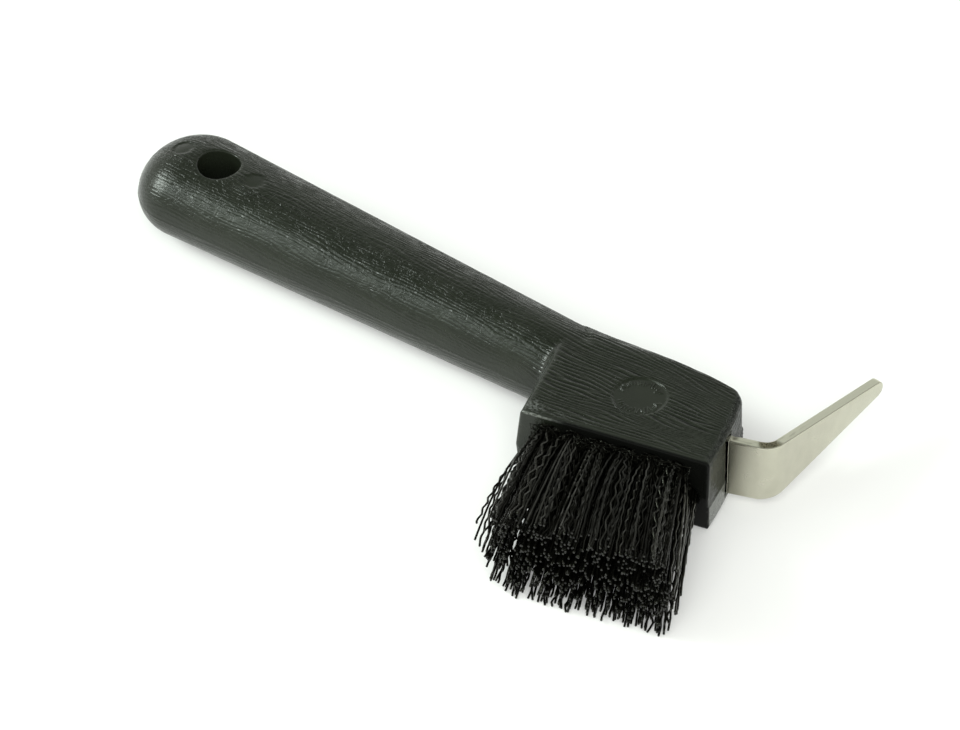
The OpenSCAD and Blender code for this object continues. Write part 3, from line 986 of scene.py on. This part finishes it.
def build_tufts(skin, cut_end):
    for row, name in enumerate(ROW_NAMES):
        for i in range(ROW_COUNTS[row]):
            rng = np.random.default_rng((SEED, row, i))
            points, quads, starts, ends = tubes(tuft_paths(row, i, rng), FILAMENT_R, FILAMENT_SIDES)
            tuft = f"tuft_{name}_{i + 1}"
            gloss = filament_gloss(len(starts), len(points), rng)
            piece = add_object(f"bristles_{name}_{i + 1}", points, [quads, starts, ends],
                               [skin, cut_end], [tuft], [("gloss", gloss)])
            marks = np.zeros(len(piece.data.polygons), np.int32)
            marks[-len(ends):] = 1
            piece.data.polygons.foreach_set("material_index", marks)
            flat = np.ones(len(marks), bool)
            flat[-len(starts) - len(ends):] = False
            piece.data.polygons.foreach_set("use_smooth", flat)


FUZZ_PER_TUFT = 75
FUZZ_STEPS = 9
FUZZ_R, FUZZ_SIDES = 0.085, 4


def build_fuzz(material):
    """Fine curled hairs, split from the filaments, that crowd round the roots of the tufts."""
    face = np.array((*FACE_DIR, 0.0))
    out = np.array((*FACE_OUT, 0.0))
    up = np.array((0.0, 0.0, 1.0))
    heel = np.array((*HEEL, 0.0))
    rng = np.random.default_rng(SEED + 20)
    paths = []
    for row, i in ((row, i) for row, count in enumerate(ROW_COUNTS) for i in range(count)):
        for _ in range(FUZZ_PER_TUFT):
            start, heading, curl = rng.uniform(0, 2 * math.pi, 3)
            reach, lift = rng.uniform(1.2, 4.6), rng.uniform(0.5, 3.0)
            t = np.linspace(0, 1, FUZZ_STEPS)
            turn = heading + 2.2 * t * math.sin(curl)
            run = tuft_place(row, i) + math.cos(start) * TUFT_HOLE_R + reach * t * np.cos(turn)
            rise = ROW_HEIGHTS[row] + math.sin(start) * TUFT_HOLE_R + reach * t * np.sin(turn)
            run = np.clip(run + 0.2 * np.sin(9 * t + curl), 3.5, FACE_LEN - 3.5)
            rise = np.clip(rise, -9.0, 9.4)
            height = DRAFT - 0.5 + (0.5 + lift) * np.sin(math.pi * t * rng.uniform(0.5, 0.9))
            paths.append(heel + run[:, None] * face + rise[:, None] * up + height[:, None] * out)
    points, quads, starts, ends = tubes(np.array(paths), FUZZ_R, FUZZ_SIDES)
    gloss = filament_gloss(len(starts), len(points), rng)
    return add_object("root_fuzz", points, [quads, starts, ends], [material],
                      attributes=[("gloss", gloss)])


# ---------------------------------------------------------------- floor and light

FLOOR_GLOW = 0.22
FLOOR_TONE = 0.64
FLOOR_HALF = 4.0
AWAY = Vector((-math.sin(AZIMUTH), math.cos(AZIMUTH), 0.0))
RIGHT = Vector((math.cos(AZIMUTH), math.sin(AZIMUTH), 0.0))


def add_floor():
    """A wide pale sheet under the part."""
    half = FLOOR_HALF
    corners = ((-half, -half), (half, -half), (half, half), (-half, half))
    mesh = bpy.data.meshes.new("floor")
    mesh.from_pydata([(x, y, cad_box[0][2]) for x, y in corners], [], [(0, 1, 2, 3)])
    n = Nodes("floor_paper")
    place = n.add("ShaderNodeTexCoord").outputs["Object"]
    fibre = n.noise(place, 400.0, detail=2.0)
    tone = n.mix(fibre, rgb(*[FLOOR_TONE] * 3), rgb(*[FLOOR_TONE * 0.99] * 3))
    n.plug(n.shader.inputs["Base Color"], tone)
    n.shader.inputs["Roughness"].default_value = 0.9
    n.shader.inputs["Specular IOR Level"].default_value = 0.0
    n.shader.inputs["Emission Color"].default_value = rgb(1, 1, 1)
    n.shader.inputs["Emission Strength"].default_value = FLOOR_GLOW
    mesh.materials.append(n.material)
    floor = bpy.data.objects.new("floor", mesh)
    bpy.context.scene.collection.objects.link(floor)


SKY = ((0.0, 1.0), (0.26, 0.84), (0.42, 0.60), (0.57, 0.50), (0.72, 0.44), (0.82, 0.26), (0.90, 0.10))
SKY_TINT = (0.975, 1.0, 0.94)


def add_world():
    """A white studio tent that darkens with height, as one open at the top does."""
    world = bpy.data.worlds.new("studio")
    world.use_nodes = True
    nodes, links = world.node_tree.nodes, world.node_tree.links
    parts = nodes.new("ShaderNodeSeparateXYZ")
    links.new(nodes.new("ShaderNodeTexCoord").outputs["Generated"], parts.inputs[0])
    ramp = nodes.new("ShaderNodeValToRGB")
    links.new(parts.outputs["Z"], ramp.inputs["Fac"])
    elements = ramp.color_ramp.elements
    elements[0].position, elements[1].position = SKY[0][0], SKY[-1][0]
    for height, _ in SKY[1:-1]:
        elements.new(height)
    for element, (_, level) in zip(elements, SKY):
        element.color = rgb(*(level * part for part in SKY_TINT))
    links.new(ramp.outputs["Color"], nodes["Background"].inputs["Color"])
    bpy.context.scene.world = world


POWER_OF_RADIANCE = 4       # an area light's power for one unit of radiance and of area


def add_light(name, azimuth, elevation, size, radiance, distance, tint=(1, 1, 1), mirrored=True):
    """A square soft light: azimuth is measured from straight away from the camera, towards the right."""
    azimuth, elevation = math.radians(azimuth), math.radians(elevation)
    level = AWAY * math.cos(azimuth) + RIGHT * math.sin(azimuth)
    direction = level * math.cos(elevation) + Vector((0, 0, math.sin(elevation)))
    data = bpy.data.lights.new(name, "AREA")
    data.size = size
    data.color = tint
    data.energy = radiance * POWER_OF_RADIANCE * size * size
    light = bpy.data.objects.new(name, data)
    light.location = TARGET + direction * distance
    light.rotation_mode = "QUATERNION"
    light.rotation_quaternion = (-direction).to_track_quat("-Z", "Y")
    light.visible_glossy = mirrored
    light.visible_camera = False
    bpy.context.scene.collection.objects.link(light)


# ---------------------------------------------------------------- scene

COOL, COOLER, PALE = (0.90, 1.0, 0.93), (0.88, 1.0, 0.92), (0.98, 1.0, 0.95)

add_camera()
plastic = plastic_material()
nickel = nickel_material()
build_handle(plastic)
build_seal(plastic)
build_pick(nickel)
filament = bristle_material()
build_tufts(filament, cut_end_material())
build_fuzz(filament)
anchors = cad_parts["tuft_anchors"]
anchors.data.materials.clear()
anchors.data.materials.append(anchor_material())
add_floor()
add_world()
add_light("softbox_left", -77, 31, 0.34, 14.0, 1.0, tint=COOL)
add_light("softbox_wide", -101, 44, 0.36, 2.2, 1.0, tint=COOLER)
add_light("key_front", -176, 39, 0.8, 4.3, 1.0, tint=PALE, mirrored=False)
add_light("overhead_fill", 0, 88, 1.6, 0.45, 1.2, tint=PALE, mirrored=False)
bpy.context.scene.view_settings.view_transform = "Standard"
